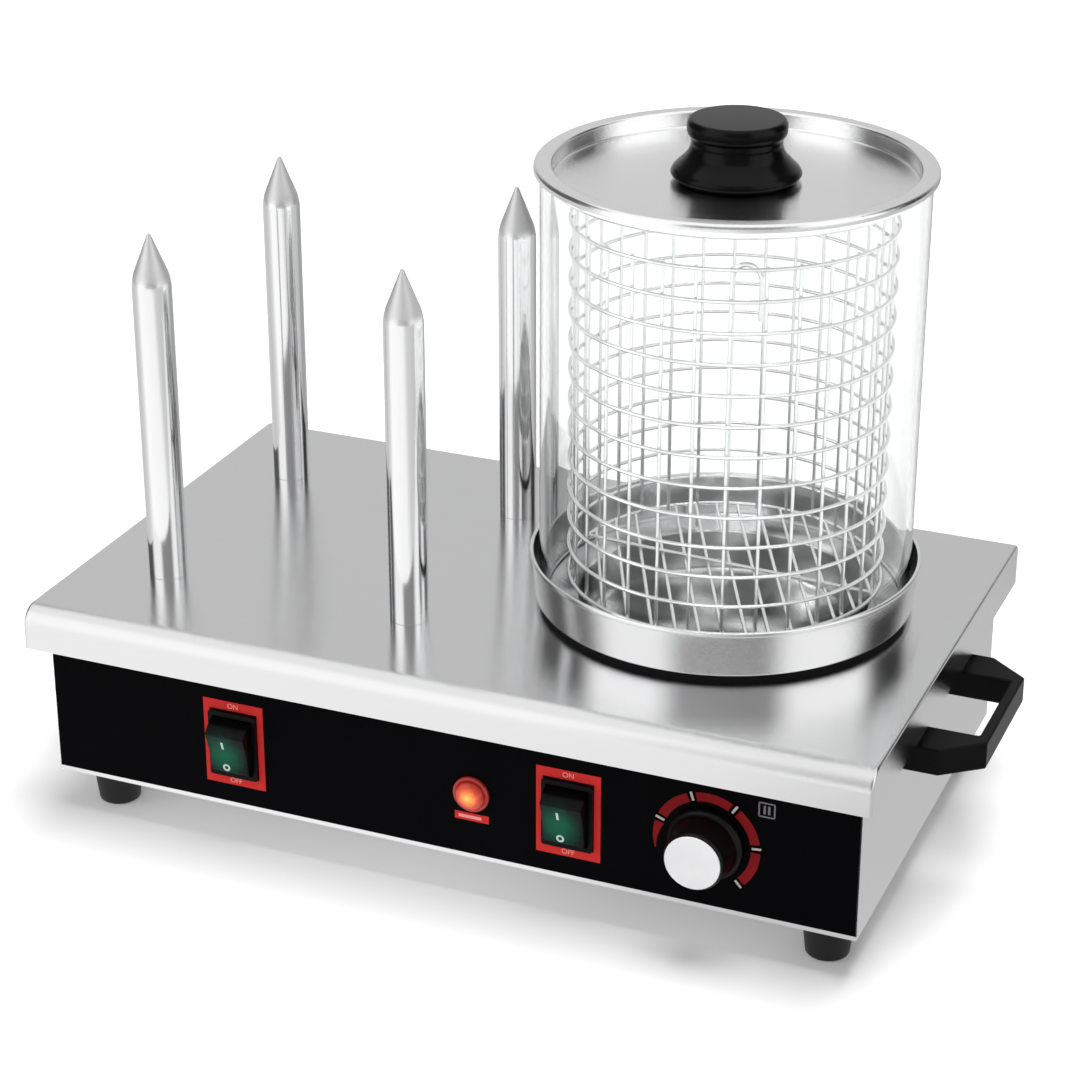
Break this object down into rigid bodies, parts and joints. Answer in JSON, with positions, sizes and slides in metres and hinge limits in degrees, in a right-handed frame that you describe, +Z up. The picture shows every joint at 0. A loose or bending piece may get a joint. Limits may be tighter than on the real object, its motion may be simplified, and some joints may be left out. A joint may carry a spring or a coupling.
{
  "type": "hot dog warmer",
  "caption": "Counter-top hot dog warmer with heated bun spikes beside a lidded glass steaming cylinder over a water pan, on a low steel casing with front controls.",
  "frame": {"origin": "on the surface that the feet stand on, under the middle of the whole object", "axes": "+X to the right along the front, -Y towards the user, +Z up"},
  "size_m": [0.542, 0.309, 0.4006],
  "materials": {
    "cover_steel": "fine brushed stainless sheet",
    "casing_steel": "brushed stainless sheet",
    "black_panel": "satin black printed panel",
    "spike_steel": "polished stainless tube",
    "pan_steel": "spun stainless, brushed around its axis",
    "lid_steel": "spun stainless, near polished",
    "basket_wire": "bright plated wire",
    "fastener_steel": "plain steel",
    "heater_steel": "dull heater sheath",
    "heater_aluminium": "cast, matt",
    "terminal_brass": "plain blades",
    "gasket_rubber": "matt black",
    "foot_rubber": "matt black moulded rubber",
    "clear_glass": "clear cylinder with ground edges",
    "gloss_black": "glossy black moulding",
    "handle_black": "satin black moulding",
    "knob_black": "satin gloss black moulding",
    "cap_silver": "pale satin disc",
    "rocker_green": "translucent dark green moulding",
    "lamp_red": "translucent red lens",
    "insulator_plastic": "pale insulating moulding"
  },
  "bodies": {
    "casing": {"top_cover": "cover_steel", "body_shell": "casing_steel", "base_plate": "casing_steel", "front_panel": "black_panel", "foot_screws": "fastener_steel", "foot_nuts": "fastener_steel", "base_screws": "fastener_steel", "cover_nuts": "fastener_steel", "panel_nuts": "fastener_steel", "spike_nuts": "fastener_steel", "spike_heaters": "heater_steel", "water_pan": "pan_steel", "pan_gasket": "gasket_rubber", "pan_nuts": "fastener_steel", "heater_plate": "heater_aluminium", "pan_heater": "heater_steel", "high_limit_cutout": "insulator_plastic", "left_handle": "handle_black", "right_handle": "handle_black", "handle_screws": "fastener_steel", "left_switch_housing": "gloss_black", "right_switch_housing": "gloss_black", "switch_terminals": "terminal_brass", "lamp_lens": "lamp_red", "lamp_holder": "insulator_plastic", "lamp_nut": "fastener_steel", "thermostat_body": "insulator_plastic", "thermostat_screws": "fastener_steel", "cable_gland": "handle_black", "gland_nut": "handle_black", "terminal_block": "insulator_plastic", "foot_front_left": "foot_rubber", "foot_front_right": "foot_rubber", "foot_back_left": "foot_rubber", "foot_back_right": "foot_rubber", "spike_front_left": "spike_steel", "spike_front_right": "spike_steel", "spike_back_left": "spike_steel", "spike_back_right": "spike_steel"},
    "glass": {"glass_cylinder": "clear_glass"},
    "lid": {"lid_plate": "lid_steel", "lid_knob": "gloss_black", "lid_knob_screw": "fastener_steel"},
    "basket": {"basket_cage": "basket_wire", "basket_floor": "basket_wire", "basket_rod": "basket_wire"},
    "left_switch": {"left_rocker": "rocker_green"},
    "right_switch": {"right_rocker": "rocker_green"},
    "knob": {"control_knob": "knob_black", "knob_cap": "cap_silver", "knob_spindle": "fastener_steel"}
  },
  "joints": [
    {"name": "glass_lift", "type": "slide", "parent": "casing", "child": "glass", "axis": [0, 0, 1], "range_m": [0, 0.25]},
    {"name": "lid_lift", "type": "slide", "parent": "glass", "child": "lid", "axis": [0, 0, 1], "range_m": [0, 0.28]},
    {"name": "basket_lift", "type": "slide", "parent": "casing", "child": "basket", "axis": [0, 0, 1], "range_m": [0, 0.252]},
    {"name": "left_rocker_turn", "type": "hinge", "parent": "casing", "child": "left_switch", "pos_m": [-0.1197, -0.131, 0.065], "axis": [-1, 0, 0], "range_deg": [0, 24]},
    {"name": "right_rocker_turn", "type": "hinge", "parent": "casing", "child": "right_switch", "pos_m": [0.0753, -0.131, 0.065], "axis": [-1, 0, 0], "range_deg": [0, 24]},
    {"name": "knob_turn", "type": "hinge", "parent": "casing", "child": "knob", "pos_m": [0.151, -0.1325, 0.065], "axis": [0, 1, 0], "range_deg": [0, 270]}
  ],
  "couplings": [
    {"joint": "basket_lift", "follows": "lid_lift", "ratio": 0.9}
  ]
}
